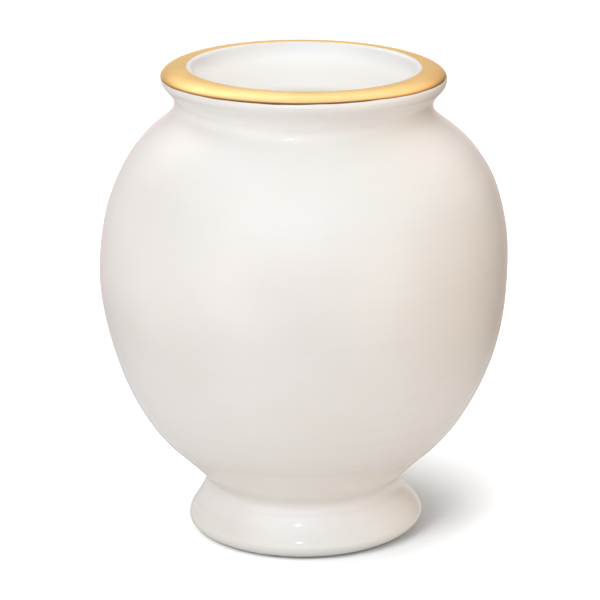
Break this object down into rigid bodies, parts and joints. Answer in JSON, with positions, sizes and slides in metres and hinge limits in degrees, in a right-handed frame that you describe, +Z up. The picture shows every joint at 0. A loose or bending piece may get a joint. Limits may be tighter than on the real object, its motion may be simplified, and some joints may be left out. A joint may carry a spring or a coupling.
{
  "type": "porcelain vase",
  "caption": "Globular footed porcelain vase for cut flowers, in glossy ivory glaze, with a waisted foot, a short flared neck and a broad rolled lip gilded in satin gold.",
  "frame": {"origin": "centre of the resting ring, on the surface that the vase stands on", "axes": "+Z up along the axis of turning; every direction square to it is alike"},
  "size_m": [0.19, 0.19, 0.222],
  "materials": {
    "biscuit": "unglazed fired porcelain, ground smooth on the resting ring",
    "ivory_glaze": "glossy ivory glaze",
    "white_glaze": "glossy white glaze",
    "gilding": "thin burnished gilding with a soft satin shine"
  },
  "bodies": {
    "root": {"foot": "biscuit", "vase_body": "biscuit", "exterior_glaze": "ivory_glaze", "interior_glaze": "white_glaze", "recess_glaze": "ivory_glaze", "gold_rim": "gilding"}
  },
  "joints": []
}
